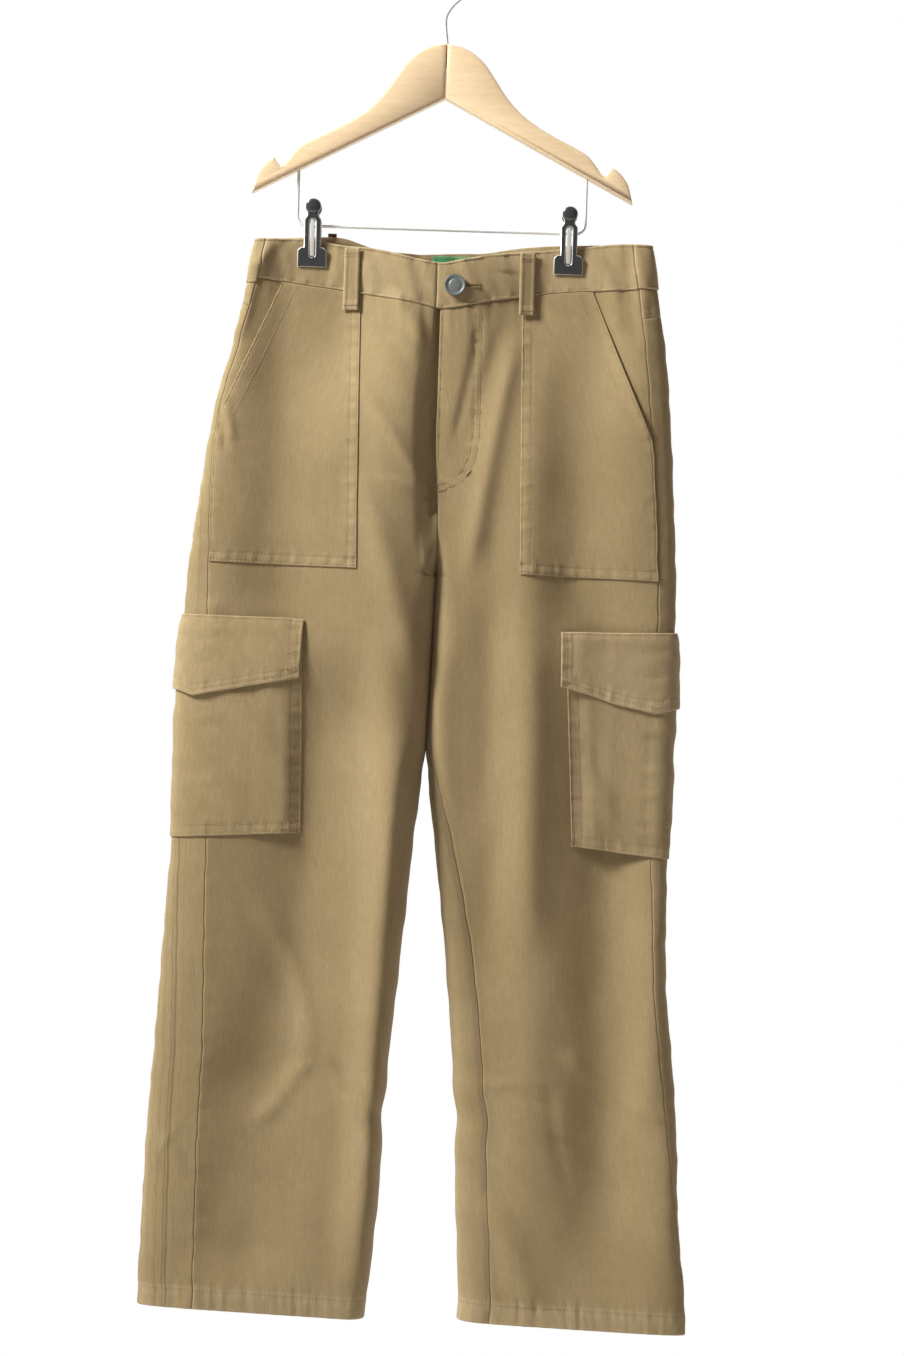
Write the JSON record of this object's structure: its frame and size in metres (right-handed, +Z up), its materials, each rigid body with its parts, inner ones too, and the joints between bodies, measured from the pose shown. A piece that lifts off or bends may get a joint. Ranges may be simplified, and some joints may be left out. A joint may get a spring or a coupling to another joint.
{
  "type": "cargo trousers on a clip hanger",
  "caption": "Child's straight-leg cargo trousers in cotton twill, with patch and flapped leg pockets, hanging flat by the buttoned waistband from a wooden clip hanger.",
  "frame": {"origin": "where the inside top of the hanger's hook bears on a clothes rail", "axes": "+Z up, the way the garment hangs; the front faces -Y; the wearer's left is at +X"},
  "size_m": [0.437, 0.0514, 1.0952],
  "materials": {
    "twill": "washed khaki cotton twill",
    "wood": "pale lacquered hardwood",
    "wire": "bright nickel-plated steel wire",
    "clip": "black-nickelled spring steel",
    "button": "dull grey-blue pressed metal",
    "label": "green woven tape",
    "tab": "dark brown woven tape"
  },
  "bodies": {
    "root": {"front_right": "twill", "back_right": "twill", "yoke_right": "twill", "pocket_front_right": "twill", "cargo_pocket_right": "twill", "cargo_flap_right": "twill", "front_left": "twill", "back_left": "twill", "yoke_left": "twill", "pocket_front_left": "twill", "cargo_pocket_left": "twill", "cargo_flap_left": "twill", "waistband_front_right": "twill", "waistband_front_left": "twill", "waistband_back": "twill", "belt_loop_front_right": "twill", "belt_loop_front_left": "twill", "belt_loop_back_right": "twill", "belt_loop_back_left": "twill", "belt_loop_back_centre": "twill", "button": "button", "label": "label", "tab": "tab", "hanger_arm_right": "wood", "hanger_arm_left": "wood", "hook": "wire", "clip_bar": "wire", "clip_right_front": "clip", "clip_right_back": "clip", "clip_spring_right_outer": "wire", "clip_spring_right_inner": "wire", "clip_left_front": "clip", "clip_left_back": "clip", "clip_spring_left_outer": "wire", "clip_spring_left_inner": "wire"}
  },
  "joints": []
}
